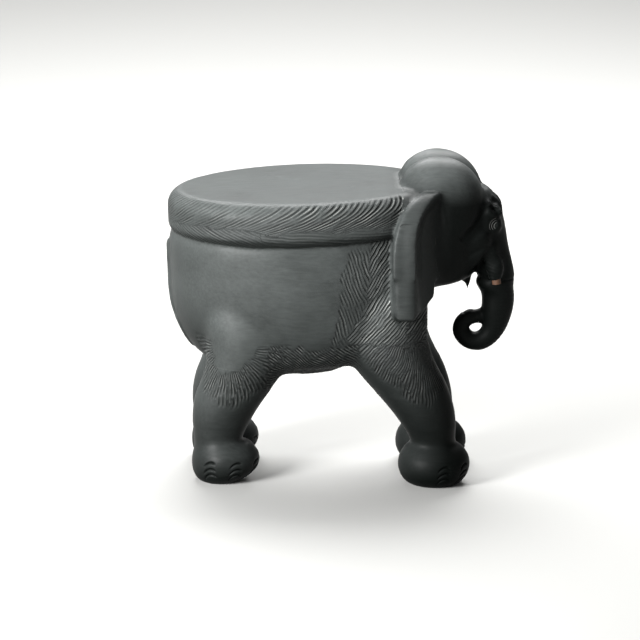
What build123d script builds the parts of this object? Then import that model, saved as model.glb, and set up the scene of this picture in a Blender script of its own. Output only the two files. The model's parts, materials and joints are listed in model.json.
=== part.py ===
from build123d import *
import math
import os

os.makedirs("parts", exist_ok=True)

# Carved elephant stool, glued up from hardwood blocks. Millimetres, +Z up, +X towards the head.
# The origin is on the floor, under the middle of the overall box. The stool is symmetric about
# the plane Y = 0; the elephant's right side is -Y, and each right-hand form is mirrored.

# Overall
HALF_LENGTH = 239

# Seat: an oval slab that rises towards the head, with a thick rounded rim
SEAT_TILT = 3.0                  # degrees
SEAT_MID_X = -52                 # middle of the oval
SEAT_TOP_Z = 403                 # height of the top at the middle of the oval
SEAT_HALF_WIDTH = 138
SEAT_RIM = 58                    # thickness of the slab
RIM_TOP_ROUND = 22
RIM_BOTTOM_ROUND = 14

# Glue joints between the blocks
NECK_JOINT_X = 80                # upright face between head and body
CHEST_LEDGE_Z = 268              # level ledge that carries the front of the neck
LEG_JOINT_Z = 166                # level face on top of each leg
TRUNK_JOINT_Z = 277              # level face across the trunk

# Legs: leg centre to the middle plane. The joint stands where the limb leaves the barrel
STANCE = 58
HIP_LEAN = 8                     # how far the top of a limb leans in under the barrel

# Tail, carved in low relief on the rump
TAIL_X = -280                    # well behind the rump, where the relief is cut from
TAIL_DEPTH = 120
TAIL_WIDTH = 11
TAIL_TOP_Z = 322
TAIL_RELIEF = 4                  # how far the tail stands out of the rump
TUFT_Z = 198
TUFT_HALF = (12, 26)             # half width and half height

# Head: each form has its centre on the right, and its half sizes
DOME = ((130.5, -25, 387), (62, 48, 62))
BROW = ((199, -31, 378), (22, 13, 14))
EYE = ((208, -29, 354), (10, 8, 8))
CHEEK = ((171, -38, 328), (33, 15, 30))
CHEEK_SLOPE = 35                 # degrees that the cheekbone falls towards the jaw

# Sleeve of the tusk, and the broken tusk in it
SLEEVE_TOP, SLEEVE_TOP_R = (200, -28, 326), 12
SLEEVE_END, SLEEVE_END_R = (211, -31.5, 281), 9
TUSK_R = 6
TUSK_ROOT = (209.3, -31, 300)
TUSK_END = (212.2, -32, 274.5)

# Pointed lower lip: middle, and half sizes along X and across
LIP_ROOT, LIP_ROOT_HALF = (170, 0, 292), (12, 18)
LIP_TIP, LIP_TIP_HALF = (174, 0, 255.5), (1.8, 3)

# Trunk: radius at the joint comes first in trunk_form; its tip closes the ring
TRUNK_TIP, TRUNK_TIP_R = (190, 0, 221), 10.2

# Ears
EAR_BED_Y = 68                   # how near the ear comes to the middle plane
EAR_TIP_X = 131                  # where its front face runs into the neck
EAR_FOLD = 9                     # how far the front face's fold stands ahead of the outer band
EAR_HEM_OUT_Z, EAR_HEM_IN_Z = 237, 262
EAR_HEM_OUT_Y = 124

# Dowels: radius and length, then where each one crosses its joint
SEAT_DOWEL = (7, 60)
SEAT_DOWEL_AT = [(-180, 0, 340), (-60, -70, 346), (-60, 70, 346), (40, 0, 351)]
HEAD_DOWEL = (9, 90)
HEAD_DOWEL_Y, HEAD_DOWEL_Z = 34, 318
LEG_DOWEL = (12, 96)
REAR_DOWEL_X, FRONT_DOWEL_X = -132, 82
EAR_DOWEL = (4, 36)
EAR_DOWEL_X, EAR_DOWEL_Z = 104, (292, 352)
TRUNK_DOWEL = (6, 50)
TRUNK_DOWEL_X = 214


def oval(z, x_back, x_front, half_width, y=0):
    """Level oval at height z, from x_back to x_front."""
    middle = Location(((x_back + x_front) / 2, y, z))
    return middle * Ellipse((x_front - x_back) / 2, half_width)


def ellipsoid(centre, half_sizes, pitch=0):
    """Ball drawn out to three half sizes, its front turned down by pitch degrees."""
    return Pos(*centre) * Rot(0, pitch, 0) * scale(Sphere(1), by=half_sizes)


def peg(radius, start, end):
    """Round peg from start to end."""
    way = Vector(*end) - Vector(*start)
    place = Plane(origin=start, z_dir=way)
    return extrude(place * Circle(radius), amount=way.length)


def taper(start, start_half, end, end_half):
    """Oval form that tapers between two middles; half sizes are along X and across."""
    way = Vector(*end) - Vector(*start)
    cuts = [
        Plane(origin=middle, x_dir=(0, 1, 0), z_dir=way) * Ellipse(half[1], half[0])
        for middle, half in ((start, start_half), (end, end_half))
    ]
    return loft(cuts)


def above(z):
    """Everything above height z."""
    return Pos(0, 0, z + 400) * Box(1200, 1200, 800)


def ahead(x):
    """Everything in front of x."""
    return Pos(x + 400, 0, 0) * Box(800, 1200, 2400)


def mirrored(shape):
    """The same form on the elephant's left."""
    return mirror(shape, about=Plane.XZ)


def seat_plane(depth):
    """Plane parallel to the seat's top, depth below it, at the middle of the oval."""
    tilt = math.radians(SEAT_TILT)
    up = Vector(-math.sin(tilt), 0, math.cos(tilt))
    middle = Vector(SEAT_MID_X, 0, SEAT_TOP_Z) - up * depth
    return Plane(origin=middle, x_dir=(math.cos(tilt), 0, math.sin(tilt)), z_dir=up)


def seat_form():
    """Whole oval slab, before the head end is cut square."""
    half_length = HALF_LENGTH + SEAT_MID_X
    slab = extrude(seat_plane(SEAT_RIM) * Ellipse(half_length, SEAT_HALF_WIDTH), amount=SEAT_RIM)
    rims = slab.edges().sort_by(Axis.Z)
    slab = fillet(rims[-1], RIM_TOP_ROUND)
    return fillet(slab.edges().sort_by(Axis.Z)[0], RIM_BOTTOM_ROUND)


def barrel(relief=0):
    """Round body from the belly to the underside of the seat."""
    stations = [
        (151, -150, -18, 48),
        (158, -173, 22, 76),
        (168, -191, 68, 94),
        (184, -205, 106, 105),
        (212, -220, 119, 114),
        (255, -231, 123, 122),
        (305, -234, 122, 125),
        (350, -224, 114, 121),
        (392, -210, 100, 114),
    ]
    return loft([oval(z, back - relief, front, half + relief) for z, back, front, half in stations])


def rear_limb():
    """Right haunch, thigh and shank, down to the ankle."""
    return loft([
        oval(36, -193, -137, 29, -STANCE),
        oval(58, -197, -131, 32, -STANCE),
        oval(84, -199, -120, 36, -STANCE),
        oval(112, -197, -104, 41, -STANCE),
        oval(142, -188, -84, 45, -STANCE),
        oval(172, -181, -70, 49, -STANCE),
        oval(215, -185, -66, 51, -STANCE),
        oval(262, -172, -86, 45, -STANCE),
        oval(292, -156, -100, 30, -STANCE + HIP_LEAN),
    ])


def front_limb():
    """Right shoulder, upper leg and shank, down to the ankle."""
    return loft([
        oval(36, 106, 160, 28, -STANCE),
        oval(56, 101, 160, 31, -STANCE),
        oval(80, 88, 161, 35, -STANCE),
        oval(108, 67, 157, 40, -STANCE),
        oval(140, 38, 146, 45, -STANCE),
        oval(170, 15, 131, 49, -STANCE),
        oval(205, 6, 120, 52, -STANCE),
        oval(250, 12, 119, 49, -STANCE),
        oval(284, 28, 104, 30, -STANCE + HIP_LEAN),
    ])


def rear_foot():
    """Bulbous foot that stands on its heel half, with the toes cut away underneath."""
    return loft([
        oval(0, -188, -136, 29, -STANCE),
        oval(8, -195, -121, 39, -STANCE),
        oval(26, -199, -107, 46, -STANCE),
        oval(42, -197, -109, 43, -STANCE),
        oval(55, -192, -120, 34, -STANCE),
    ])


def front_foot():
    """Bulbous foot with a round flat sole."""
    return loft([
        oval(0, 100, 163, 31, -STANCE),
        oval(8, 89, 174, 42, -STANCE),
        oval(26, 83, 181, 49, -STANCE),
        oval(42, 86, 178, 45, -STANCE),
        oval(55, 95, 168, 35, -STANCE),
    ])


def tail():
    """Tail in low relief down the middle of the rump, with a tuft at its end."""
    length = TAIL_TOP_Z - TUFT_Z
    strip = Plane(origin=(TAIL_X, 0, TUFT_Z + length / 2), x_dir=(0, 1, 0), z_dir=(1, 0, 0))
    tuft = Plane(origin=(TAIL_X, 0, TUFT_Z), x_dir=(0, 1, 0), z_dir=(1, 0, 0))
    outline = strip * SlotOverall(length, TAIL_WIDTH, rotation=90) + tuft * Ellipse(*TUFT_HALF)
    return barrel(TAIL_RELIEF) & extrude(outline, amount=TAIL_DEPTH)


def skull():
    """Back of the head and the neck, which fills the space between the ears."""
    head = loft([
        oval(268, 90, 142, 36),
        oval(275, 62, 167, 54),
        oval(288, 48, 185, 65),
        oval(306, 42, 190, 72),
        oval(345, 40, 198, 76),
        oval(385, 40, 199, 75),
        oval(404, 46, 193, 67),
    ])
    neck = loft([
        oval(268, 40, 126, 58),
        oval(300, 32, 148, 73),
        oval(350, 32, 150, 75),
        oval(398, 36, 146, 70),
    ])
    return head + neck


def face():
    """Front of the head, which narrows down to the root of the trunk."""
    return loft([
        oval(404, 132, 197, 38),
        oval(384, 146, 213, 41),
        oval(362, 154, 221, 41),
        oval(335, 163, 226, 36),
        oval(308, 174, 232, 30),
        oval(TRUNK_JOINT_Z, 188, 238, 24),
    ])


def head_form():
    """Neck, domes, face, cheeks and jaw, before the joints are cut."""
    right = [
        ellipsoid(*DOME),
        ellipsoid(*BROW),
        ellipsoid(*EYE),
        ellipsoid(*CHEEK, pitch=-CHEEK_SLOPE),
        tusk_sleeve(),
    ]
    form = skull() + face() + neck_saddle()
    for lump in right:
        form = form + lump + mirrored(lump)
    return form + taper(LIP_ROOT, LIP_ROOT_HALF, LIP_TIP, LIP_TIP_HALF)


def neck_saddle():
    """Short saddle that carries the seat's surface up to the back of the domes."""
    return seat_form() & ahead(NECK_JOINT_X)


def tusk_sleeve():
    """Wrinkled sleeve that the right tusk grows from, beside the trunk."""
    top, end = (SLEEVE_TOP_R, SLEEVE_TOP_R), (SLEEVE_END_R, SLEEVE_END_R)
    return taper(SLEEVE_TOP, top, SLEEVE_END, end)


def trunk_form():
    """Lower trunk: down from the joint, then rolled in towards the chest until it meets itself."""
    steps = [  # place in X and Z, heading in degrees from straight up, radius
        ((213, TRUNK_JOINT_Z), 180, 25),
        ((215, 256), 182, 23.4),
        ((216, 236), 180, 22),
        ((213.5, 216), 193, 19),
        ((207.5, 199), 222, 15.4),
        ((192.5, 186.5), 262, 13.6),
        ((176.5, 188.5), 303, 12.4),
        ((166.8, 202), 350, 11.8),
        ((171.5, 215), 38, 11),
        ((184, 220.5), 80, 10.3),
    ]
    rings = []
    for (x, z), heading, radius in steps:
        turn = math.radians(heading)
        way = (math.sin(turn), 0, math.cos(turn))
        rings.append(Plane(origin=(x, 0, z), x_dir=(0, 1, 0), z_dir=way) * Circle(radius))
    return loft(rings) + Pos(*TRUNK_TIP) * Sphere(TRUNK_TIP_R)


def ear_cut(z, back, front, out):
    """Level cut through the right ear: a square outer band, and a front face folded once."""
    fold_y = (out + EAR_BED_Y) / 2
    return Pos(0, 0, z) * Polygon(
        (back, -EAR_BED_Y),
        (back, -out),
        (front, -out),
        (min(front + EAR_FOLD, EAR_TIP_X - 1), -fold_y),
        (EAR_TIP_X, -EAR_BED_Y),
        align=None,
    )


def ear_form():
    """Right ear: a thick flap whose outer band sweeps forward over the top of the neck."""
    flap = loft([
        ear_cut(235, 76, 100, 121),
        ear_cut(262, 69, 99, 123),
        ear_cut(310, 67, 98, 124),
        ear_cut(354, 68, 97, 122),
        ear_cut(380, 76, 102, 114),
        ear_cut(397, 88, 112, 101),
        ear_cut(411, 112, 124, 78),
    ])
    with BuildSketch(Plane.YZ) as below:
        Polygon(
            (-EAR_BED_Y + 1, EAR_HEM_IN_Z),
            (-EAR_HEM_OUT_Y, EAR_HEM_OUT_Z),
            (-EAR_HEM_OUT_Y, 0),
            (-EAR_BED_Y + 1, 0),
            align=None,
        )
    return flap - extrude(below.sketch, amount=2 * EAR_TIP_X)


def dowels(spec, places, direction):
    """Dowels of one size, centred on the joint at each place."""
    radius, length = spec
    way = Vector(*direction) * (length / 2)
    return [peg(radius, Vector(*p) - way, Vector(*p) + way) for p in places]


def main():
    """Make every block, cut the joints and write one file per piece."""
    seat_bottom = seat_plane(SEAT_RIM)
    over_body = extrude(seat_bottom * Rectangle(1200, 600), amount=400)
    head_space = ahead(NECK_JOINT_X) & above(CHEST_LEDGE_Z)

    limbs = {"rear_right_leg": rear_limb(), "front_right_leg": front_limb()}
    feet = {"rear_right_leg": rear_foot(), "front_right_leg": front_foot()}
    legs = {}
    for name, limb in limbs.items():
        leg = (limb - above(LEG_JOINT_Z)) + feet[name]
        legs[name] = leg
        legs[name.replace("right", "left")] = mirrored(leg)

    body = barrel() + tail()
    for limb in limbs.values():
        upper = limb & above(LEG_JOINT_Z)
        body = body + upper + mirrored(upper)
    body = body - over_body - head_space
    for leg in legs.values():
        body = body - leg

    seat = seat_form() - ahead(NECK_JOINT_X)
    head = head_form() & head_space
    trunk = trunk_form()

    ear = ear_form()
    ears = {"right_ear": ear, "left_ear": mirrored(ear)}
    for flap in ears.values():
        body = body - flap
        seat = seat - flap
        head = head - flap

    tusk = peg(TUSK_R, TUSK_ROOT, TUSK_END)
    tusks = {"right_tusk": tusk, "left_tusk": mirrored(tusk)}
    for piece in tusks.values():
        head = head - piece

    both = (-1, 1)
    head_at = [(NECK_JOINT_X, side * HEAD_DOWEL_Y, HEAD_DOWEL_Z) for side in both]
    leg_at = [(x, side * STANCE, LEG_JOINT_Z) for x in (REAR_DOWEL_X, FRONT_DOWEL_X) for side in both]
    ear_at = [(EAR_DOWEL_X, side * EAR_BED_Y, z) for side in both for z in EAR_DOWEL_Z]
    seat_pins = dowels(SEAT_DOWEL, SEAT_DOWEL_AT, (0, 0, 1))
    head_pins = dowels(HEAD_DOWEL, head_at, (1, 0, 0))
    leg_pins = dowels(LEG_DOWEL, leg_at, (0, 0, 1))
    ear_pins = dowels(EAR_DOWEL, ear_at, (0, 1, 0))
    trunk_pin = dowels(TRUNK_DOWEL, [(TRUNK_DOWEL_X, 0, TRUNK_JOINT_Z)], (0, 0, 1))

    for pin in seat_pins:
        seat, body = seat - pin, body - pin
    for pin in head_pins:
        head, body = head - pin, body - pin
    for pin in leg_pins:
        body = body - pin
        legs = {name: leg - pin for name, leg in legs.items()}
    for pin in ear_pins:
        head = head - pin
        ears = {name: flap - pin for name, flap in ears.items()}
    for pin in trunk_pin:
        head, trunk = head - pin, trunk - pin

    pieces = {
        "body": body,
        "seat": seat,
        "head": head,
        "trunk": trunk,
        "seat_dowels": Compound(seat_pins),
        "head_dowels": Compound(head_pins),
        "leg_dowels": Compound(leg_pins),
        "ear_dowels": Compound(ear_pins),
        "trunk_dowel": Compound(trunk_pin),
    }
    pieces.update(ears)
    pieces.update(tusks)
    pieces.update(legs)
    for name, piece in pieces.items():
        export_step(piece, f"parts/{name}.step")


main()
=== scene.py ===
import json
import math

import bmesh
import bpy
import numpy as np
from mathutils import Matrix, Vector
from mathutils.bvhtree import BVHTree

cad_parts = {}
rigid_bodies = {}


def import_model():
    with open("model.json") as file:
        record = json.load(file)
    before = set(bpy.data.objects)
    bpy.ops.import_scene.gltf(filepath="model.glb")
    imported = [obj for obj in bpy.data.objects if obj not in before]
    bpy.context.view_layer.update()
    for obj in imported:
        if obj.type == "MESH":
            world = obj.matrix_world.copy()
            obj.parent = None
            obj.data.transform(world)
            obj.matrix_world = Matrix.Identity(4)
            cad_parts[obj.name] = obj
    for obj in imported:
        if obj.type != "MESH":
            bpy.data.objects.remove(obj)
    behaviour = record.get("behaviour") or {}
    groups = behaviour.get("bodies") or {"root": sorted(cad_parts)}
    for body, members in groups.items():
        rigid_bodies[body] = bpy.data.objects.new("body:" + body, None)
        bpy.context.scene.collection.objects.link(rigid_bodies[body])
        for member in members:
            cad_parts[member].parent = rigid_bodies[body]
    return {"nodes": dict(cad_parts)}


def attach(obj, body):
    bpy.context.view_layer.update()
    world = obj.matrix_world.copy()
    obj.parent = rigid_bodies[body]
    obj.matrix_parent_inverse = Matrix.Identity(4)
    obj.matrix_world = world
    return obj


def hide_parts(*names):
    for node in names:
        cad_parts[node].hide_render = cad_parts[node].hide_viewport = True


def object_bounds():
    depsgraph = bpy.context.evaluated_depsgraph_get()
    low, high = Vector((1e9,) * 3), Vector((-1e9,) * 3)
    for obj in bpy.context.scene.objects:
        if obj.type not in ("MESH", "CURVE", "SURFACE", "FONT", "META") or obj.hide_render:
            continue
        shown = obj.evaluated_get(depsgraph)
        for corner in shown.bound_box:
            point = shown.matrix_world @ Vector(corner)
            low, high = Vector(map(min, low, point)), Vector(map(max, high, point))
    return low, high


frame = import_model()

bl_info = {
    "name": "Carved elephant stool",
    "version": (1, 0, 0),
    "blender": (4, 5, 0),
    "location": "3D View > Sidebar > Stool",
    "description": "Carves and finishes an ebonised elephant stool around its glued-up blocks",
    "category": "Object",
}

CAD_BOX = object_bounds()
MM = 0.001
BODY = "root"

# The blocks that show, and the dowels that fill their bores while the blank is carved
BLOCKS = (
    "body", "seat", "head", "trunk", "right_ear", "left_ear",
    "front_right_leg", "front_left_leg", "rear_right_leg", "rear_left_leg",
)
DOWELS = ("seat_dowels", "head_dowels", "leg_dowels", "ear_dowels", "trunk_dowel")
LEGS = ("front_right_leg", "front_left_leg", "rear_right_leg", "rear_left_leg")
EARS = ("right_ear", "left_ear")
TUSKS = ("right_tusk", "left_tusk")

# Seat plane, as the joiner set it out, in millimetres
SEAT_MID = np.array([-52.0, 0.0, 403.0])
SEAT_TILT = math.radians(3.0)
SEAT_HALF_LENGTH, SEAT_HALF_WIDTH, SEAT_RIM = 187.0, 138.0, 58.0

# Leg axes at the height of the carving, and the feet, in millimetres
STANCE = 58.0
FRONT_AXIS_Z, FRONT_AXIS_X = (80, 108, 140, 170, 205, 250), (124, 112, 92, 73, 63, 65)
REAR_AXIS_Z, REAR_AXIS_X = (84, 112, 142, 172, 215), (-160, -151, -136, -126, -126)
FRONT_FOOT, REAR_FOOT = (132.0, 49.0), (-153.0, 46.0)
TRUNK_JOINT_Z = 277.0
CURL_X, CURL_Z = 190.0, 205.0
CURL_RADIUS, WRINKLE_SPACING = 26, 5.4
EYE_X, EYE_Z = 210.5, 356.5

# Lines of the face, the ear and the nape as seen from the side: x and z in millimetres
SOCKET = ((200, 388), (206, 382), (211, 374), (213, 367))
BROW = ((199, 388), (204, 394), (210, 389), (214, 381), (217, 374))
CHEEK = ((199, 390), (188, 374), (180, 361), (172, 352), (160, 342))
CHEEK_BONE = ((204, 352), (192, 345), (180, 338), (168, 330))
UNDER_CHEEK = ((201, 332), (192, 328), (182, 323), (168, 315))
JAW = ((203, 330), (195, 316), (189, 300), (186, 286))
EAR_FOLD = ((131, 396), (134, 386), (137, 372), (138, 356))
NAPE = ((74, 411), (80, 421), (87, 433), (98, 444))

# Wood left on the blank to carve the face from: middle and half sizes, in millimetres
LUMPS = (
    ((209, 26, 356.5), (9, 9, 10)),
    ((196, 9, 373), (23.3, 20, 22)),
    ((174, 0, 269), (3, 3.4, 11)),
    ((210.6, 31.3, 296), (11, 11, 18)),
)

# Dents in the seat: x, y and radius in millimetres
DENTS = ((-88, 44, 4.5), (-98, 58, 3), (-66, 30, 3.5), (10, -28, 3))

# Peaks of the three arcs of a toe nail, in millimetres above the floor
NAIL_PEAKS = (16, 24, 33)

# Weakest hair that the mesh is refined for, and the largest face that is then evened out
FAINTEST_HAIR = 0.05
SMALL_FACE = 3 * MM**2

WAX_ROUGHNESS = 0.48


# ---------------------------------------------------------------- settings a user would change


class StoolCarving(bpy.types.PropertyGroup):
    """Sizes of the carving"""

    voxel: bpy.props.FloatProperty(
        name="Blank grain", description="Spacing of the blank's mesh before it is refined",
        default=2.42 * MM, min=1 * MM, unit="LENGTH")
    hair_depth: bpy.props.FloatProperty(
        name="Hair depth", description="Depth of an ordinary hair cut",
        default=1.25 * MM, min=0, unit="LENGTH")
    rim_depth: bpy.props.FloatProperty(
        name="Rim hair depth", description="Depth of the longest cuts, on the rim beside the ear",
        default=2.3 * MM, min=0, unit="LENGTH")
    nail_depth: bpy.props.FloatProperty(
        name="Toe nail depth", description="Depth of the cuts that draw the toe nails",
        default=1.7 * MM, min=0, unit="LENGTH")
    tool_marks: bpy.props.FloatProperty(
        name="Tool marks", description="Height of the waves that a hand-held spokeshave leaves",
        default=0.3 * MM, min=0, unit="LENGTH")


class StoolFinish(bpy.types.PropertyGroup):
    """Colours of the finish, as sRGB hex; the stain colours and the pale edge colour also carry
    painted light, shade and highlights
    """

    # Lit grey of the stain, laid on as painted light on the seat, the back, the crown and faces
    # that look up
    stain: bpy.props.StringProperty(
        name="Stain", description="Greyed stain where the stool is handled", default="#545857")
    # Near-black stain, also laid on as painted shade in every cut and where painted light does not
    # reach
    deep_stain_and_shade: bpy.props.StringProperty(
        name="Deep stain", description="Stain where it pools, and where nobody touches it",
        default="#040605")
    # Painted highlight on the ridges between cuts, and on sharp edges partly the stain worn thin,
    # partly painted highlight
    highlight_and_worn_edge: bpy.props.StringProperty(
        name="Rubbed edge", description="Ridges where the stain has worn thin", default="#babcb8")
    bare: bpy.props.StringProperty(
        name="Bare wood", description="Broken end of a tusk", default="#64422a")
    bare_grain: bpy.props.StringProperty(
        name="Bare grain", description="Darker grain in the broken wood", default="#2e1c12")
    dowel: bpy.props.StringProperty(
        name="Dowel wood", description="Unstained dowels inside the joints", default="#c49a68")
    dowel_grain: bpy.props.StringProperty(
        name="Dowel grain", description="Darker grain in the dowels", default="#8c6238")


class StoolStage(bpy.types.PropertyGroup):
    """Floor and light"""

    floor: bpy.props.StringProperty(
        name="Floor", description="Colour of the floor", default="#b4b4b2")
    overhead: bpy.props.FloatProperty(
        name="Overhead light", description="Power of the soft box above and behind",
        default=165, min=0, unit="POWER")
    side: bpy.props.FloatProperty(
        name="Side light", description="Power of the soft box on the tail's side",
        default=80, min=0, unit="POWER")
    backdrop: bpy.props.FloatProperty(
        name="Backdrop light", description="Power of the soft box over the floor behind",
        default=60, min=0, unit="POWER")
    room: bpy.props.FloatProperty(
        name="Room light", description="Strength of the even light from all round",
        default=0.18, min=0)


# ---------------------------------------------------------------- fields that draw the carving


def hashed(cell, seed):
    """Repeatable random number from -1 to 1 for each whole-numbered cell."""
    key = (cell * np.array([73856093, 19349663, 83492791])[: cell.shape[1]]).sum(axis=1)
    key = (key + seed * 668265263) & 0x7FFFFFFF
    key = ((key ^ (key >> 15)) * 739982445) & 0x7FFFFFFF
    key = ((key ^ (key >> 12)) * 695872825) & 0x7FFFFFFF
    return (key ^ (key >> 15)) / 0x3FFFFFFF - 1


def wander(points, size, seed):
    """Smooth random field from -1 to 1, with bumps of that size."""
    at = points / size
    cell = np.floor(at).astype(np.int64)
    share = at - cell
    share = share * share * (3 - 2 * share)
    total = np.zeros(len(points))
    for corner in np.ndindex(2, 2, 2):
        weight = np.prod(np.where(corner, share, 1 - share), axis=1)
        total += weight * hashed(cell + np.array(corner), seed)
    return total


def fade(value, low, high):
    """0 at low, 1 at high, and smooth between them; low may be the larger."""
    share = np.clip((value - low) / (high - low), 0, 1)
    return share * share * (3 - 2 * share)


def gouges(share, depth, across, along, spacing, length, seed):
    """Rows of tapering V-cuts over the share of the skin that has them.

    Gives how strongly each point is haired, the row it lies in as a running number that is
    whole on a ridge and half-way at the bottom of a cut, and the depth of the cut, in millimetres.
    """
    strand = across / spacing
    row = np.floor(strand)
    rows = row.astype(np.int64)[:, None]
    stretch = 1 + 0.35 * hashed(rows, seed)
    step = along / (length * stretch) + 3 * hashed(rows, seed + 1)
    cut = np.floor(step)
    strength = 0.75 + 0.25 * hashed(np.column_stack([row, cut]).astype(np.int64), seed + 2)
    hair = share * strength * np.sin(np.pi * (step - cut)) ** 0.45
    vee = np.clip(1 - np.abs(2 * (strand - row) - 1) * 1.15, 0, 1)
    return hair, strand, hair * vee * depth


def single_cut(share, depth):
    """One cut by itself, in the same three terms as a row of gouges."""
    return share, np.full(len(share), 0.5), share * depth


def off_line(x, z, line):
    """Distance of each point from a line, and how far along the line it lies, from 0 to 1."""
    best = np.full(len(x), 1e9)
    along = np.zeros(len(x))
    for count, ((x0, z0), (x1, z1)) in enumerate(zip(line[:-1], line[1:])):
        length_sq = (x1 - x0) ** 2 + (z1 - z0) ** 2
        share = np.clip(((x - x0) * (x1 - x0) + (z - z0) * (z1 - z0)) / length_sq, 0, 1)
        gap = np.hypot(x - x0 - share * (x1 - x0), z - z0 - share * (z1 - z0))
        nearer = gap < best
        best = np.where(nearer, gap, best)
        along = np.where(nearer, (count + share) / (len(line) - 1), along)
    return best, along


def crease(x, z, line, width):
    """Soft groove along a line: 1 on it, and tapering to nothing at its two ends."""
    gap, along = off_line(x, z, line)
    return np.exp(-((gap / width) ** 2)) * np.clip(np.sin(np.pi * along), 0, 1) ** 0.4


def round_limb(p, axis_z, axis_x):
    """Distance fore and aft, measured round the limb's skin instead of straight through it."""
    middle = np.interp(p[:, 2], axis_z, axis_x)
    inward = np.clip(STANCE + 48 - np.abs(p[:, 1]), 0, None)
    return p[:, 0] + 0.8 * np.sign(p[:, 0] - middle) * inward


def below_seat(p):
    """Height above the underside of the seat's rim, and place fore and aft along its plane."""
    ahead = np.array([math.cos(SEAT_TILT), 0, math.sin(SEAT_TILT)])
    up = np.array([-math.sin(SEAT_TILT), 0, math.cos(SEAT_TILT)])
    return (p - SEAT_MID) @ up + SEAT_RIM, (p - SEAT_MID) @ ahead


# ---------------------------------------------------------------- the carving, region by region


def rim_hair(p, n, sizes):
    """Long cuts that sweep up and forward round the rim, bolder towards the ears."""
    height, ahead = below_seat(p)
    turn = np.arctan2(np.abs(p[:, 1]) / SEAT_HALF_WIDTH, -ahead / SEAT_HALF_LENGTH)
    run = (SEAT_HALF_LENGTH + SEAT_HALF_WIDTH) / 2 * turn
    rise = np.clip((height - 8) / (SEAT_RIM - 8), 0.02, 1)
    bend = wander(p, 42, 11) * 3 + wander(p, 14, 12) * 1.1
    on_rim = fade(height, 0, 4) * fade(height, SEAT_RIM - 0.5, SEAT_RIM - 5) * (p[:, 0] < 98)
    lift = 300 * rise ** 0.2
    ragged = wander(p, 24, 13) * 5
    upper = on_rim * fade(height + ragged, 15, 27) * (0.55 + 0.45 * fade(run, 150, 330))
    bold = 1.0 + (sizes.rim_depth / MM - 1.0) * fade(run, 190, 340)
    lower = on_rim * fade(height + ragged, 27, 19) * fade(run, 235, 170) * fade(run, 20, 50) * 0.6
    faint = on_rim * fade(height + ragged, 26, 18) * fade(run, 170, 220) * 0.5
    return [
        gouges(upper, bold, run - lift + bend, run + height * 0.5, 8.2, 62, 21),
        gouges(lower, 1.1, run + height * 2.1 + bend, run - height * 0.4, 9.5, 48, 25),
        gouges(faint, 0.7, height + bend * 0.7 + run * 0.1, run, 4.5, 60, 27),
    ]


def shoulder_hair(p, n, sizes):
    """Two sets of cuts that meet in a herringbone behind the ear."""
    height, _ = below_seat(p)
    x, z = p[:, 0], p[:, 2]
    bend = wander(p, 30, 31) * 3 + wander(p, 11, 32) * 1.4
    seam = np.interp(z, (213, 270, 350), (11, 33, 36)) + wander(p, 12, 33) * 6
    edge = np.interp(z, (150, 213, 225, 255, 301, 333), (-4, -15, -8, -3, 0, 9))
    edge += wander(p, 9, 34) * 5
    body = fade(height, -1, -5) * fade(np.abs(p[:, 1]), 62, 84) * fade(z, 196, 212)
    steep, fall = math.radians(57), math.radians(-68)
    sweep = 0.0011 * (z - 290) ** 2
    front = body * fade(x, seam - 3, seam + 3)
    back = (body * fade(x, edge - 2, edge + 3) * fade(x, seam + 3, seam - 3)
            * fade(z, 345, 326) * 0.72)
    depth = sizes.hair_depth / MM
    return [
        gouges(front, depth * 1.15, -x * math.sin(steep) + z * math.cos(steep) - sweep + bend,
               x * math.cos(steep) + z * math.sin(steep), 4.4, 46, 35),
        gouges(back, depth, -x * math.sin(fall) + z * math.cos(fall) + bend,
               x * math.cos(fall) + z * math.sin(fall), 4.6, 40, 37),
    ]


def front_leg_hair(p, n, sizes):
    """Cuts that fall like a fan from the shoulder down the front leg, and folds under the ear."""
    z = p[:, 2]
    x = round_limb(p, FRONT_AXIS_Z, FRONT_AXIS_X)
    outside = fade(np.abs(p[:, 1]), 40, 62)
    bend = wander(p, 26, 41) * 2.2 + wander(p, 9, 42) * 0.8
    from_x, from_z = 117.0, 268.0
    reach = np.hypot(x - from_x, z - from_z)
    angle = np.arctan2(x - from_x, from_z - z)
    hem = np.interp(x, (20, 60, 95, 132, 175), (180, 150, 120, 116, 140)) + wander(p, 11, 43) * 6
    fan = (outside * fade(z, hem - 2, hem + 8) * fade(z, 214, 200)
           * fade(x, 8, 22) * fade(x, 172, 156))
    folds = outside * fade(x, 78, 88) * fade(z, 188, 200) * fade(z, 246, 238)
    depth = sizes.hair_depth / MM
    return [
        gouges(fan * 0.75, depth * 1.1, angle * 108 + bend, reach, 4.0, 30, 45),
        gouges(folds * 0.6, depth, z + 2.2 * np.sin(x / 11) + bend, x, 4.0, 36, 47),
    ]


def rear_leg_hair(p, n, sizes):
    """A ruff of cuts that spreads over the thigh below the haunch."""
    z = p[:, 2]
    x = round_limb(p, REAR_AXIS_Z, REAR_AXIS_X)
    outside = fade(np.abs(p[:, 1]), 34, 56)
    bend = wander(p, 24, 51) * 2 + wander(p, 9, 52) * 0.8
    from_x, from_z = -155.0, 199.0
    reach = np.hypot(x - from_x, z - from_z)
    angle = np.arctan2(x - from_x, from_z - z)
    ragged = wander(p, 10, 53) * 6
    ruff = outside * fade(reach + ragged, 36, 43) * fade(reach + ragged, 92, 80)
    ruff *= fade(np.abs(angle), 1.72, 1.45) * fade(p[:, 0], -58, -72)
    row = angle * 62 + bend + 0.06 * reach * np.sign(angle)
    return [gouges(ruff * 0.75, 1.4 * sizes.hair_depth / MM, row, reach, 4.7, 27, 55)]


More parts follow.
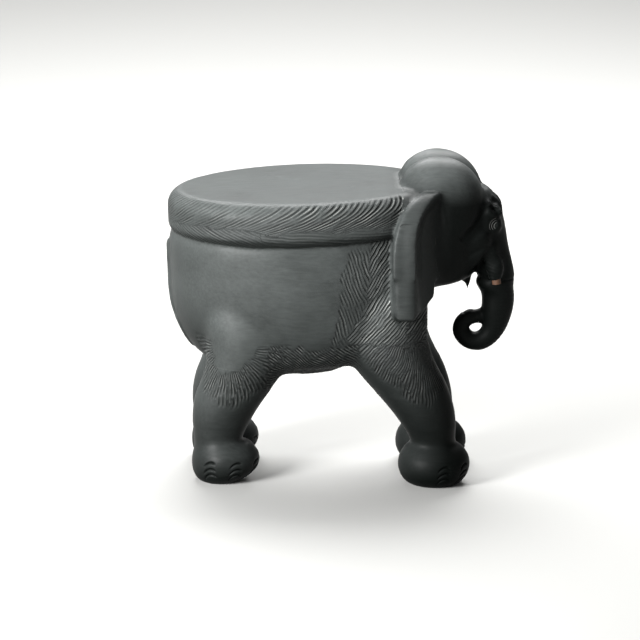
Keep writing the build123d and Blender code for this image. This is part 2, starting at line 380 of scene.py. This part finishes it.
def belly_hair(p, n, sizes):
    """A short fringe along the bottom of the belly."""
    x, z = p[:, 0], p[:, 2]
    skirt = z - 0.8 * np.clip(111 - np.abs(p[:, 1]), 0, None) * (z < 205)
    bend = wander(p, 20, 61) * 2 + wander(p, 8, 62) * 0.8
    fall = math.radians(-50)
    top = 199 + wander(p, 11, 63) * 6 + 5 * fade(x, -30, 10)
    fringe = fade(z, top + 4, top - 5) * fade(x, -112, -92) * fade(x, 34, 18)
    fringe *= fade(np.abs(p[:, 1]), 22, 44) * 0.85
    return [
        gouges(fringe, sizes.hair_depth / MM, -x * math.sin(fall) + skirt * math.cos(fall) + bend,
               x * math.cos(fall) + skirt * math.sin(fall), 4.2, 19, 65),
    ]


def toe_nails(p, n, sizes):
    """Three nested arcs for each toe nail, round the outside of every foot."""
    total = np.zeros(len(p))
    low = p[:, 2] < 40
    for (foot_x, radius), angles in (
        (FRONT_FOOT, (-75, -34, 7)),
        (REAR_FOOT, (-119, -72, -25, 22)),
    ):
        out = np.abs(p[:, 1]) - STANCE
        here = low & (np.hypot(p[:, 0] - foot_x, out) < radius + 6)
        turn = np.degrees(np.arctan2(-out, p[:, 0] - foot_x))
        for angle in angles:
            side = np.radians((turn - angle + 180) % 360 - 180) * radius
            for count, peak in enumerate(NAIL_PEAKS):
                half = 12 - count
                line = peak + 0.3 * side - 0.05 * side**2
                arc = np.exp(-(((p[:, 2] - line) / 1.3) ** 2)) * fade(np.abs(side), half, half - 5)
                total += np.where(here, arc, 0)
    return [single_cut(np.clip(total, 0, 1), sizes.nail_depth / MM)]


def face_lines(p, n, sizes):
    """Fine cuts round the eye, and the socket and the cheek's groove, darkened with painted shade.
    """
    x, z = p[:, 0], p[:, 2]
    head = (x > 130) & (z > TRUNK_JOINT_Z) & (np.abs(p[:, 1]) > 12)
    reach = np.hypot(x - EYE_X, z - EYE_Z)
    angle = np.degrees(np.arctan2(z - EYE_Z, x - EYE_X)) % 360
    lids = head * fade(reach, 2.6, 3.4) * fade(reach, 12.4, 11.2) * fade(angle, 88, 110)
    lids *= fade(angle, 262 - 4 * reach, 242 - 4 * reach)
    fold = (reach - 1.4) / 3.1
    vee = np.clip(1 - np.abs(2 * (fold - np.floor(fold)) - 1), 0, 1)
    socket = crease(x, z, SOCKET, 4)
    cheek = crease(x, z, CHEEK, 3.5) * 0.7
    return [
        (lids * 1.2, fold, lids * vee * 1.3),
        # Painted shade: the socket and the cheek's groove count as full cuts, so the finish
        # darkens them though the cut is shallow
        single_cut(np.where(head, np.clip(socket + cheek, 0, 1), 0), 0.4),
    ]


def face(p, n, sizes):
    """Eyes, brows, cheeks, jaw and the rings on the sleeve of the tusk."""
    x, z = p[:, 0], p[:, 2]
    head = (x > 130) & (z > TRUNK_JOINT_Z - 3) & (np.abs(p[:, 1]) > 6)
    side = np.abs(p[:, 1])
    outer = fade(side, 8, 18)
    ball_of_eye = np.exp(-((np.hypot(x - EYE_X, z - EYE_Z) / 3.2) ** 2))
    socket = crease(x, z, SOCKET, 5)
    brow = crease(x, z, BROW, 2.5) * (side < 28)
    temple = fade(side, 15, 30) * fade(x, 197, 208) * fade(z, 370, 384)
    cheek = crease(x, z, CHEEK, 5.5)
    bone = crease(x, z, CHEEK_BONE, 6)
    under = crease(x, z, UNDER_CHEEK, 4)
    jaw = crease(x, z, JAW, 4.5)
    sleeve = (x > 190) & (x < 222) & (z < 324) & (side > 22)
    turns = (z + 0.25 * x + wander(p, 9, 71) * 2) * 2 * np.pi / 5
    rings = np.where(sleeve, np.sin(turns) * 0.14, 0)
    depth = socket * 3 - brow * 1.2 + temple * 6.5 + cheek * 2.6 - bone * 1.6 + under * 1.8
    depth += jaw * 1.8 - ball_of_eye * 1.4 + rings * fade(z, 324, 314)
    return np.where(head, depth * outer, 0)


def trunk_rings(p, n, sizes):
    """Wrinkles round the trunk, and the fine line where its lower length is glued on."""
    x, z = p[:, 0], p[:, 2]
    near = (x > 150) & (np.abs(p[:, 1]) < 28) & (z < TRUNK_JOINT_Z + 4)
    upright = z > CURL_Z
    turn = np.arctan2(x - CURL_X, z - CURL_Z)
    round_curl = -turn * CURL_RADIUS + np.pi / 2 * CURL_RADIUS
    along = np.where(upright & (x > 196), z - CURL_Z, round_curl)
    wave = np.sin((along + wander(p, 10, 81) * 1.6) * 2 * np.pi / WRINKLE_SPACING)
    ahead = fade(n[:, 0], -0.5, 0.4) * (x > 196) + 0.35 * (x <= 196)
    rings = (0.5 + 0.5 * wave) ** 2 * 0.36 * ahead * (0.6 + 0.6 * wander(p, 16, 82))
    line = np.exp(-(((z - TRUNK_JOINT_Z) / 0.9) ** 2)) * 0.9 * (x > 186)
    return np.where(near, np.maximum(rings * (z < TRUNK_JOINT_Z - 2), line), 0)


def ear_folds(p, n, sizes):
    """A hollow down each ear's outer band, the fold behind the cheek, and the nape's line."""
    x, z = p[:, 0], p[:, 2]
    side = np.abs(p[:, 1])
    on_band = (side > 116) & (z > 236) & (x > 64) & (x < 100)
    hollow = np.where(on_band, np.exp(-(((x - 80) / 9) ** 2)) * 1.3 * fade(z, 240, 262), 0)
    fold = crease(x, z, EAR_FOLD, 2)
    nape = crease(x, z, NAPE, 2) * (side > 20) * (side < 72)
    return hollow + nape * 1.2 - np.where((side > 58) & (side < 92), fold * 1.8, 0)


def tool_marks(p, n, sizes):
    """Waves that a spokeshave leaves on broad smooth wood, and a few dents in the seat."""
    marks = wander(p * np.array([0.6, 1, 1]), 26, 91) * 0.75 + wander(p, 11, 92) * 0.25
    dents = np.zeros(len(p))
    for x, y, radius in DENTS:
        dents += np.exp(-((np.hypot(p[:, 0] - x, p[:, 1] - y) / radius) ** 2))
    height, _ = below_seat(p)
    return marks * sizes.tool_marks / MM + dents * 0.6 * (height > SEAT_RIM - 3)


CARVERS = (rim_hair, shoulder_hair, front_leg_hair, rear_leg_hair, belly_hair)
LINERS = (toe_nails, face_lines)
SHAPERS = (face, trunk_rings, ear_folds, tool_marks)


# ---------------------------------------------------------------- the blank


def ball(blank, centre, half_sizes):
    """Rounded lump on both sides of the stool, in millimetres."""
    for side in (-1, 1):
        place = Matrix.Translation(Vector((centre[0], side * centre[1], centre[2])) * MM)
        size = Matrix.Diagonal(Vector(half_sizes) * MM).to_4x4()
        bmesh.ops.create_uvsphere(
            blank, u_segments=32, v_segments=20, radius=1, matrix=place @ size)


def glued_blank():
    """All blocks as one mesh, with lumps of wood left where a face is carved."""
    blank = bmesh.new()
    for name in BLOCKS + DOWELS:
        block = bmesh.new()
        block.from_mesh(frame["nodes"][name].data)
        bmesh.ops.remove_doubles(block, verts=block.verts, dist=0.001 * MM)
        loose = bpy.data.meshes.new("block")
        block.to_mesh(loose)
        block.free()
        blank.from_mesh(loose)
        bpy.data.meshes.remove(loose)
    for centre, half_sizes in LUMPS:
        ball(blank, centre, half_sizes)
    return blank


def with_modifier(obj, kind, **settings):
    """Apply one modifier to the object's mesh."""
    modifier = obj.modifiers.new(kind.title(), kind)
    for name, value in settings.items():
        setattr(modifier, name, value)
    graph = bpy.context.evaluated_depsgraph_get()
    mesh = bpy.data.meshes.new_from_object(obj.evaluated_get(graph))
    obj.modifiers.clear()
    old = obj.data
    obj.data = mesh
    bpy.data.meshes.remove(old)


def soften(obj, zones, voxel):
    """Round off each zone's creases; a zone is a test of a point in millimetres and a radius."""
    soft = bmesh.new()
    soft.from_mesh(obj.data)
    for test, radius in zones:
        chosen = [v for v in soft.verts if test(*(v.co / MM))]
        rounds = max(1, round(2 * (radius * MM / voxel) ** 2))
        for _ in range(rounds):
            bmesh.ops.smooth_vert(
                soft, verts=chosen, factor=0.5, use_axis_x=True, use_axis_y=True, use_axis_z=True)
    soft.to_mesh(obj.data)
    soft.free()


def hips_and_shoulders(x, y, z):
    """Where the limbs grow out of the barrel."""
    return 128 < z < 300 and abs(y) > 14 and (-222 < x < -50 or -8 < x < 140)


def chest(x, y, z):
    """Between the forelegs, the barrel and the jaw."""
    return 84 < x < 172 and abs(y) < 66 and 225 < z < 296


def face_and_domes(x, y, z):
    """The head, apart from the ears and the lip."""
    return x > 134 and z > 284 and abs(y) < 92


def saddle(x, y, z):
    """Where the seat runs up into the back of the domes."""
    return 56 < x < 112 and abs(y) < 66 and z > 392


def ankles(x, y, z):
    """Where each shank runs into its foot."""
    return 42 < z < 80


def ear_crests(x, y, z):
    """The crest of each ear, where it runs into the dome."""
    return 84 < x < 138 and 60 < abs(y) < 112 and z > 386


def ear_bands(x, y, z):
    """The broad outer face of each ear."""
    return 66 < x < 97 and abs(y) > 108 and z > 246


def everywhere(x, y, z):
    """The whole figure, so that no edge stays sharper than a rasp leaves it."""
    return True


ZONES = (
    (everywhere, 2.4), (hips_and_shoulders, 11), (chest, 9),
    (face_and_domes, 4.5), (saddle, 8), (ankles, 8), (ear_crests, 4), (ear_bands, 3.5),
)


def node_of_each_face(mesh):
    """Which block each face belongs to: the one whose surface is nearest."""
    corners, triangles, owner = [], [], []
    for number, name in enumerate(BLOCKS):
        data = frame["nodes"][name].data
        data.calc_loop_triangles()
        start = len(corners)
        corners.extend(v.co for v in data.vertices)
        triangles.extend([start + i for i in t.vertices] for t in data.loop_triangles)
        owner.extend([number] * len(data.loop_triangles))
    tree = BVHTree.FromPolygons(corners, triangles)
    return [owner[tree.find_nearest(face.center)[2]] for face in mesh.polygons]


def on_plain_block(mesh):
    """1 at each point of a block that carries no hair, and 0 elsewhere."""
    plain = [BLOCKS.index(name) for name in ("head", "trunk") + EARS]
    block = np.empty(len(mesh.polygons), np.int32)
    sides = np.empty(len(mesh.polygons), np.int32)
    corner = np.empty(len(mesh.loops), np.int32)
    mesh.polygons.foreach_get("material_index", block)
    mesh.polygons.foreach_get("loop_total", sides)
    mesh.loops.foreach_get("vertex_index", corner)
    found = np.zeros(len(mesh.vertices))
    found[corner[np.repeat(np.isin(block, plain), sides)]] = 1
    return found


def cuts_at(points, normals, sizes, hairy):
    """The strongest hair, its row and the deepest cut at each point, over every region."""
    layers = [(hair * hairy, row, depth * hairy)
              for carver in CARVERS for hair, row, depth in carver(points, normals, sizes)]
    layers += [layer for liner in LINERS for layer in liner(points, normals, sizes)]
    hair, row, depth = (np.array(column) for column in zip(*layers))
    top, each = hair.argmax(axis=0), np.arange(len(points))
    return hair[top, each], row[top, each], depth.max(axis=0)


def refine(obj, sizes):
    """Split the faces that take fine cuts, so that each cut has several points across it."""
    fine = bmesh.new()
    fine.from_mesh(obj.data)
    points = np.array([v.co for v in fine.verts]) / MM
    normals = np.array([v.normal for v in fine.verts])
    hair, _, _ = cuts_at(points, normals, sizes, 1 - on_plain_block(obj.data))
    x, y, z = points.T
    face_and_trunk = (x > 150) & (z > 170)
    ear_band = (np.abs(y) > 100) & (x > 62) & (z > 232)
    takes_cuts = (hair > FAINTEST_HAIR) | face_and_trunk | ear_band
    chosen = {v for v, cut in zip(fine.verts, takes_cuts) if cut}
    chosen |= {v for near in chosen for f in near.link_faces for v in f.verts}
    edges = [e for e in fine.edges if e.verts[0] in chosen and e.verts[1] in chosen]
    bmesh.ops.subdivide_edges(fine, edges=edges, cuts=1, use_grid_fill=True)
    small = [v for v in fine.verts if any(f.calc_area() < SMALL_FACE for f in v.link_faces)]
    bmesh.ops.smooth_vert(
        fine, verts=small, factor=0.5, use_axis_x=True, use_axis_y=True, use_axis_z=True)
    fine.to_mesh(obj.data)
    fine.free()


def carve(obj, sizes):
    """Cut every region's pattern into the mesh, and keep each point's hair and its row."""
    mesh = obj.data
    count = len(mesh.vertices)
    place = np.empty(count * 3, np.float32)
    mesh.vertices.foreach_get("co", place)
    normal = np.empty(count * 3, np.float32)
    mesh.vertex_normals.foreach_get("vector", normal)
    points = place.reshape(-1, 3).astype(float) / MM
    normals = normal.reshape(-1, 3).astype(float)
    hair, row, cut = cuts_at(points, normals, sizes, 1 - on_plain_block(mesh))
    form = np.sum([shaper(points, normals, sizes) for shaper in SHAPERS], axis=0)
    depth = cut * fade(points[:, 2], 1.5, 6) + form * fade(points[:, 2], 1, 8)
    points -= normals * depth[:, None]
    low, high = (np.array(corner) / MM for corner in CAD_BOX)
    points = np.clip(points, low, high)
    mesh.vertices.foreach_set("co", (points * MM).astype(np.float32).ravel())
    for name, values in (("hair", np.clip(hair, 0, 1)), ("strand", row)):
        stored = mesh.attributes.new(name, "FLOAT", "POINT")
        stored.data.foreach_set("value", values.astype(np.float32))
    mesh.update()


def saw_apart(obj):
    """Separate the carved figure along the blocks' joints, and name each piece."""
    for name in BLOCKS:
        obj.data.materials.append(bpy.data.materials.new(name))
    bpy.ops.object.select_all(action="DESELECT")
    obj.select_set(True)
    bpy.context.view_layer.objects.active = obj
    bpy.ops.object.mode_set(mode="EDIT")
    bpy.ops.mesh.select_all(action="SELECT")
    bpy.ops.mesh.separate(type="MATERIAL")
    bpy.ops.object.mode_set(mode="OBJECT")
    for piece in list(bpy.context.selected_objects):
        marker = piece.data.materials[piece.data.polygons[0].material_index]
        piece.name = "carved_" + marker.name
        piece.data.name = piece.name
        piece.data.materials.clear()


def close_joint_faces(obj):
    """Give a sawn piece the flat faces of its joints.

    The second fill bridges what the first one leaves. Where a sawn edge is ragged, a few edges
    may still stay open, and some of the faces that bridge it may lie inside out.
    """
    sawn = bmesh.new()
    sawn.from_mesh(obj.data)
    edges = [e for e in sawn.edges if e.is_boundary]
    for edge in edges:
        edge.smooth = False
    filled = bmesh.ops.holes_fill(sawn, edges=edges, sides=0)["faces"]
    for flat_face in filled:
        flat_face.smooth = False
    bmesh.ops.triangulate(sawn, faces=filled)
    ragged = [e for e in sawn.edges if e.is_boundary]
    if ragged:
        made = bmesh.ops.triangle_fill(sawn, edges=ragged, use_beauty=True)["geom"]
        made = [part for part in made if isinstance(part, bmesh.types.BMFace)]
        inside_out = [e for e in ragged if len(e.link_loops) == 2
                      and e.link_loops[0].vert == e.link_loops[1].vert]
        if len(inside_out) > len(ragged) / 2:
            bmesh.ops.reverse_faces(sawn, faces=made)
        for flat_face in made:
            flat_face.smooth = False
    sawn.to_mesh(obj.data)
    left = sum(e.is_boundary for e in sawn.edges)
    sawn.free()
    print(f"{obj.name}: {len(obj.data.vertices)} vertices, {left} open edges")


# ---------------------------------------------------------------- finishes


def linear(hex_colour):
    """An sRGB hex colour as the linear colour that a shader takes."""
    parts = [int(hex_colour[i : i + 2], 16) / 255 for i in (1, 3, 5)]
    return [c / 12.92 if c <= 0.04045 else ((c + 0.055) / 1.055) ** 2.4 for c in parts] + [1.0]


def add_node(tree, kind, inputs=None, **settings):
    """Add one node. An input is a value, or another node's output socket."""
    node = tree.nodes.new(kind)
    for name, value in settings.items():
        setattr(node, name, value)
    for name, value in (inputs or {}).items():
        if isinstance(value, bpy.types.NodeSocket):
            tree.links.new(value, node.inputs[name])
        else:
            node.inputs[name].default_value = value
    return node


def per_metre(size_mm):
    """Scale of a pattern on object coordinates whose feature is that many millimetres."""
    return 1 / (size_mm * MM)


def math_node(tree, operation, *values):
    """Output of one Math node."""
    node = add_node(tree, "ShaderNodeMath", dict(enumerate(values)), operation=operation)
    return node.outputs[0]


def remap(tree, value, low, high, to_low=0.0, to_high=1.0):
    """Output of one Map Range node, held between its two ends."""
    return add_node(tree, "ShaderNodeMapRange", {
        "Value": value, "From Min": low, "From Max": high,
        "To Min": to_low, "To Max": to_high}).outputs[0]


def blend(tree, factor, first, second):
    """Output of one colour Mix node."""
    return add_node(tree, "ShaderNodeMix", {
        "Factor": factor, "A": first, "B": second}, data_type="RGBA").outputs["Result"]


def painted_light_and_shade(tree, place, normal):
    """1 where painted light greys the stain: the seat, the back, the crown and faces that look up.

    It fades to painted shade towards the face, the forelegs and the feet, and on faces that look
    down. The ends of the gradients along X and Z are in metres.
    """
    spot = add_node(tree, "ShaderNodeSeparateXYZ", {0: place})
    facing = add_node(tree, "ShaderNodeSeparateXYZ", {0: normal}).outputs["Z"]
    rear = remap(tree, spot.outputs["X"], 0.055, 0.15, 1, 0.09)
    high = remap(tree, spot.outputs["Z"], 0.03, 0.22, 0.28, 1)
    crown = remap(tree, spot.outputs["Z"], 0.385, 0.43)
    reach = math_node(tree, "MAXIMUM", math_node(tree, "MULTIPLY", rear, high), crown)
    return math_node(tree, "MULTIPLY", reach, remap(tree, facing, -0.45, 0.55, 0.15, 1))


def ebonised_wood(name, light, deep, highlight_and_worn_edge, roughness):
    """Close-grained hardwood, carved, stained black and waxed by hand.

    The stain is nearly black but not dead: painted light greys the seat, the back, the crown and
    faces that look up, painted shade keeps the face, forelegs, feet and undersides black, painted
    highlights lighten ridges and sharp edges where the stain is also partly worn thin, the stain
    is thinner along the grain, painted shade darkens the cuts, and the wax sheen is uneven.
    """
    material = bpy.data.materials.new(name)
    material.use_nodes = True
    tree = material.node_tree
    tree.nodes.clear()
    place = add_node(tree, "ShaderNodeTexCoord").outputs["Object"]
    surface = add_node(tree, "ShaderNodeNewGeometry")
    grain_way = add_node(tree, "ShaderNodeMapping", {"Vector": place, "Scale": (0.08, 1, 0.6)})
    grain = add_node(tree, "ShaderNodeTexNoise", {
        "Vector": grain_way.outputs[0], "Scale": per_metre(2.2), "Detail": 5, "Roughness": 0.62})
    cloud = add_node(tree, "ShaderNodeTexNoise", {
        "Vector": place, "Scale": per_metre(55), "Detail": 4, "Roughness": 0.6})
    speck = add_node(tree, "ShaderNodeTexNoise", {
        "Vector": place, "Scale": per_metre(1.3), "Detail": 3, "Roughness": 0.7})
    hair = add_node(tree, "ShaderNodeAttribute", attribute_name="hair").outputs["Fac"]
    strand = add_node(tree, "ShaderNodeAttribute", attribute_name="strand").outputs["Fac"]
    wave = math_node(tree, "COSINE", math_node(tree, "MULTIPLY", strand, 2 * math.pi))
    unsteady = math_node(tree, "MULTIPLY_ADD", strand, 6 * math.pi, math_node(
        tree, "MULTIPLY", grain.outputs["Fac"], 3.0))
    bristles = remap(tree, math_node(tree, "COSINE", unsteady), 0.1, -0.9, 0, 0.5)
    cut = math_node(tree, "MAXIMUM", remap(tree, wave, 0.1, -0.8), bristles)
    groove = math_node(tree, "MULTIPLY", cut, hair)
    # Painted highlight along the ridge between two cuts, where the hair is strong
    ridge = math_node(tree, "MULTIPLY", remap(tree, wave, 0.3, 0.95), math_node(
        tree, "POWER", hair, 3))

    streaks = math_node(tree, "ADD", grain.outputs["Fac"], cloud.outputs["Fac"])
    painted_light = painted_light_and_shade(tree, place, surface.outputs["Normal"])
    # Painted light and shade: grey where the figure faces up or lies high, to the rear or on the
    # crown, near black elsewhere, streaked by the grain
    grain_and_painted_light = math_node(tree, "MULTIPLY", remap(tree, streaks, 0.6, 1.4, 0.5, 1), painted_light)
    # Sharp edges: partly the stain worn thin, partly painted highlight
    worn_edge_and_highlight = remap(tree, surface.outputs["Pointiness"], 0.53, 0.62, 0, 0.2)
    # Painted highlight, only where painted light falls, mixed in towards the pale colour
    bright = math_node(tree, "MULTIPLY", remap(tree, painted_light, 0, 0.7, 0.2, 0.85), math_node(
        tree, "MAXIMUM", worn_edge_and_highlight, ridge))
    colour = blend(tree, grain_and_painted_light, linear(deep), linear(light))
    colour = blend(tree, bright, colour, linear(highlight_and_worn_edge))
    # Painted shade: every cut, the eye socket and the cheek's groove are darkened to near black
    colour = blend(tree, groove, colour, linear(deep))

    uneven = remap(tree, cloud.outputs["Fac"], 0.3, 0.7, roughness - 0.05, roughness + 0.07)
    pores = add_node(tree, "ShaderNodeBump", {
        "Height": grain.outputs["Fac"], "Strength": 0.12, "Distance": 0.3 * MM})
    scratches = add_node(tree, "ShaderNodeBump", {
        "Height": speck.outputs["Fac"], "Strength": 0.1, "Distance": 0.2 * MM,
        "Normal": pores.outputs[0]})
    hairs = add_node(tree, "ShaderNodeBump", {
        "Height": groove, "Strength": 0.9, "Distance": 0.9 * MM, "Normal": scratches.outputs[0]},
        invert=True)
    facing = add_node(tree, "ShaderNodeSeparateXYZ", {0: surface.outputs["Normal"]}).outputs["Z"]
    sheen = math_node(tree, "MULTIPLY", remap(tree, painted_light, 0, 0.8, 0.03, 0.2),
                      remap(tree, facing, 0.92, 0.995, 1, 0.2))
    shader = add_node(tree, "ShaderNodeBsdfPrincipled", {
        "Base Color": colour, "Roughness": math_node(tree, "MULTIPLY_ADD", groove, 0.22, uneven),
        "Specular IOR Level": sheen, "Normal": hairs.outputs[0]})
    add_node(tree, "ShaderNodeOutputMaterial", {"Surface": shader.outputs[0]})
    return material


def plain_wood(name, colour, dark, grain_mm):
    """Unstained hardwood, cut or turned and left raw: dry, matt and streaked along the grain."""
    material = bpy.data.materials.new(name)
    material.use_nodes = True
    tree = material.node_tree
    tree.nodes.clear()
    place = add_node(tree, "ShaderNodeTexCoord").outputs["Object"]
    way = add_node(tree, "ShaderNodeMapping", {"Vector": place, "Scale": (1, 1, 0.12)})
    grain = add_node(tree, "ShaderNodeTexNoise", {
        "Vector": way.outputs[0], "Scale": per_metre(grain_mm), "Detail": 5, "Roughness": 0.65})
    colours = add_node(tree, "ShaderNodeMix", {
        "Factor": grain.outputs["Fac"], "A": linear(dark), "B": linear(colour)}, data_type="RGBA")
    rough = add_node(tree, "ShaderNodeBump", {
        "Height": grain.outputs["Fac"], "Strength": 0.4, "Distance": 0.4 * MM})
    shader = add_node(tree, "ShaderNodeBsdfPrincipled", {
        "Base Color": colours.outputs["Result"], "Roughness": 0.72, "Normal": rough.outputs[0]})
    add_node(tree, "ShaderNodeOutputMaterial", {"Surface": shader.outputs[0]})
    return material


def finish_piece(name, material):
    """Close a sawn piece, and set it in the frame with its finish."""
    piece = bpy.data.objects["carved_" + name]
    close_joint_faces(piece)
    piece.data.materials.append(material)
    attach(piece, BODY)
    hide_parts(name)


def stained(context):
    """The stool's black finish, with its painted light, shade and highlights, made once and shared
    by every carved piece.
    """
    name = "ebonised hardwood, hand waxed"
    finish = context.scene.stool_finish
    return bpy.data.materials.get(name) or ebonised_wood(
        name, finish.stain, finish.deep_stain_and_shade, finish.highlight_and_worn_edge, WAX_ROUGHNESS)


# ---------------------------------------------------------------- operators


class STOOL_OT_figure(bpy.types.Operator):
    """Glue up the blank, round its joints, carve it and saw it into its blocks"""

    bl_idname = "stool.figure"
    bl_label = "Carve the figure"

    def execute(self, context):
        sizes = context.scene.stool_carving
        voxel = sizes.voxel * 1
        blank = glued_blank()
        mesh = bpy.data.meshes.new("figure")
        blank.to_mesh(mesh)
        blank.free()
        figure = bpy.data.objects.new("figure", mesh)
        context.scene.collection.objects.link(figure)
        with_modifier(figure, "REMESH", mode="VOXEL", voxel_size=voxel, use_smooth_shade=True)
        soften(figure, ZONES, voxel)
        figure.data.polygons.foreach_set("material_index", node_of_each_face(figure.data))
        refine(figure, sizes)
        carve(figure, sizes)
        print(f"figure: {len(figure.data.polygons)} faces")
        saw_apart(figure)
        return {"FINISHED"}


class STOOL_OT_body(bpy.types.Operator):
    """Finish the barrel-shaped body"""

    bl_idname = "stool.body"
    bl_label = "Body"

    def execute(self, context):
        finish_piece("body", stained(context))
        return {"FINISHED"}


class STOOL_OT_seat(bpy.types.Operator):
    """Finish the oval seat"""

    bl_idname = "stool.seat"
    bl_label = "Seat"

    def execute(self, context):
        finish_piece("seat", stained(context))
        return {"FINISHED"}


class STOOL_OT_head(bpy.types.Operator):
    """Finish the head and the rolled trunk"""

    bl_idname = "stool.head"
    bl_label = "Head and trunk"

    def execute(self, context):
        finish_piece("head", stained(context))
        finish_piece("trunk", stained(context))
        return {"FINISHED"}


class STOOL_OT_ears(bpy.types.Operator):
    """Finish the two ears"""

    bl_idname = "stool.ears"
    bl_label = "Ears"

    def execute(self, context):
        for name in EARS:
            finish_piece(name, stained(context))
        return {"FINISHED"}


class STOOL_OT_legs(bpy.types.Operator):
    """Finish the four legs"""

    bl_idname = "stool.legs"
    bl_label = "Legs"

    def execute(self, context):
        for name in LEGS:
            finish_piece(name, stained(context))
        return {"FINISHED"}


class STOOL_OT_tusks(bpy.types.Operator):
    """Give the broken tusks their bare wood"""

    bl_idname = "stool.tusks"
    bl_label = "Tusks"

    def execute(self, context):
        finish = context.scene.stool_finish
        bare = plain_wood("broken bare wood", finish.bare, finish.bare_grain, 1.6)
        for name in TUSKS:
            frame["nodes"][name].data.materials.clear()
            frame["nodes"][name].data.materials.append(bare)
        return {"FINISHED"}


class STOOL_OT_dowels(bpy.types.Operator):
    """Give the dowels inside the joints their plain wood"""

    bl_idname = "stool.dowels"
    bl_label = "Dowels"

    def execute(self, context):
        finish = context.scene.stool_finish
        turned = plain_wood("turned dowel wood", finish.dowel, finish.dowel_grain, 1.2)
        for name in DOWELS:
            frame["nodes"][name].data.materials.clear()
            frame["nodes"][name].data.materials.append(turned)
        return {"FINISHED"}


# Camera, in millimetres and degrees
AIM = Vector((-26.5, 0.0, 211.4))
CAMERA_AZIMUTH, CAMERA_ELEVATION, CAMERA_ROLL = -1.44, 14.5, 1.28
CAMERA_DISTANCE = 7863.0
SENSOR_MM, PIXELS, PIXELS_PER_MM = 36.0, 640, 0.7302

# Stage, in metres. Each soft box has its place, what it looks at and its width
STOOL_CENTRE = (0.0, 0.0, 0.22)
OVERHEAD_BOX = ((0.1, 1.5, 2.3), STOOL_CENTRE, 2.2)
SIDE_BOX = ((-1.15, -1.25, 0.62), STOOL_CENTRE, 0.6)
BACKDROP_BOX = ((0.2, 3.5, 2.4), (0.2, 3.0, 0), 1.8)
FLOOR_HALF_SIZE, FARTHEST_SEEN = 14, 60


def soft_box(name, place, target, size, power):
    """Large square light that looks at a target, in metres and watts."""
    light = bpy.data.lights.new(name, "AREA")
    light.shape, light.size, light.energy = "SQUARE", size, power
    lamp = bpy.data.objects.new(name, light)
    lamp.location = place
    lamp.rotation_euler = (Vector(target) - Vector(place)).to_track_quat("-Z", "Y").to_euler()
    bpy.context.scene.collection.objects.link(lamp)


class STOOL_OT_stage(bpy.types.Operator):
    """Set the floor, the soft light and the camera"""

    bl_idname = "stool.stage"
    bl_label = "Stage"

    def execute(self, context):
        stage = context.scene.stool_stage
        context.scene.view_settings.view_transform = "Standard"
        flat = bmesh.new()
        bmesh.ops.create_grid(flat, x_segments=1, y_segments=1, size=FLOOR_HALF_SIZE)
        mesh = bpy.data.meshes.new("floor")
        flat.to_mesh(mesh)
        flat.free()
        floor = bpy.data.objects.new("floor", mesh)
        context.scene.collection.objects.link(floor)
        paper = bpy.data.materials.new("matt studio paper")
        paper.use_nodes = True
        shader = paper.node_tree.nodes["Principled BSDF"]
        shader.inputs["Base Color"].default_value = linear(stage.floor)
        shader.inputs["Roughness"].default_value = 0.95
        shader.inputs["Specular IOR Level"].default_value = 0.1
        mesh.materials.append(paper)

        soft_box("overhead", *OVERHEAD_BOX, stage.overhead)
        soft_box("side", *SIDE_BOX, stage.side)
        soft_box("backdrop", *BACKDROP_BOX, stage.backdrop)
        world = bpy.data.worlds.new("studio")
        world.use_nodes = True
        world.node_tree.nodes["Background"].inputs["Color"].default_value = (1, 1, 1, 1)
        world.node_tree.nodes["Background"].inputs["Strength"].default_value = stage.room
        context.scene.world = world

        azimuth, elevation = math.radians(CAMERA_AZIMUTH), math.radians(CAMERA_ELEVATION)
        back = Vector((
            math.sin(azimuth) * math.cos(elevation),
            -math.cos(azimuth) * math.cos(elevation),
            math.sin(elevation),
        ))
        lens = bpy.data.cameras.new("camera")
        lens.sensor_width = SENSOR_MM
        lens.lens = SENSOR_MM * PIXELS_PER_MM * CAMERA_DISTANCE / PIXELS
        lens.clip_end = FARTHEST_SEEN
        camera = bpy.data.objects.new("camera", lens)
        camera.location = (AIM + back * CAMERA_DISTANCE) * MM
        level = (-back).to_track_quat("-Z", "Y").to_matrix().to_4x4()
        roll = Matrix.Rotation(math.radians(CAMERA_ROLL), 4, "Z")
        camera.rotation_euler = (level @ roll).to_euler()
        context.scene.collection.objects.link(camera)
        context.scene.camera = camera
        return {"FINISHED"}


class STOOL_PT_panel(bpy.types.Panel):
    """The stool's operators and sizes in the sidebar"""

    bl_idname = "STOOL_PT_panel"
    bl_label = "Carved elephant stool"
    bl_space_type = "VIEW_3D"
    bl_region_type = "UI"
    bl_category = "Stool"

    def draw(self, context):
        for setting in GROUPS:
            group = getattr(context.scene, setting)
            box = self.layout.box()
            for name in group.bl_rna.properties.keys():
                if name not in ("rna_type", "name"):
                    box.prop(group, name)
        for step in STEPS:
            self.layout.operator(step.bl_idname)


STEPS = (
    STOOL_OT_figure, STOOL_OT_body, STOOL_OT_seat, STOOL_OT_head, STOOL_OT_ears,
    STOOL_OT_legs, STOOL_OT_tusks, STOOL_OT_dowels, STOOL_OT_stage,
)
GROUPS = {"stool_carving": StoolCarving, "stool_finish": StoolFinish, "stool_stage": StoolStage}


def register():
    for group in GROUPS.values():
        bpy.utils.register_class(group)
    for kind in STEPS + (STOOL_PT_panel,):
        bpy.utils.register_class(kind)
    for name, group in GROUPS.items():
        setattr(bpy.types.Scene, name, bpy.props.PointerProperty(type=group))


def unregister():
    for name in GROUPS:
        delattr(bpy.types.Scene, name)
    for kind in (STOOL_PT_panel,) + STEPS[::-1]:
        bpy.utils.unregister_class(kind)
    for group in GROUPS.values():
        bpy.utils.unregister_class(group)


def main():
    register()
    for step in STEPS:
        group, action = step.bl_idname.split(".")
        getattr(getattr(bpy.ops, group), action)()


if __name__ == "__main__":
    main()
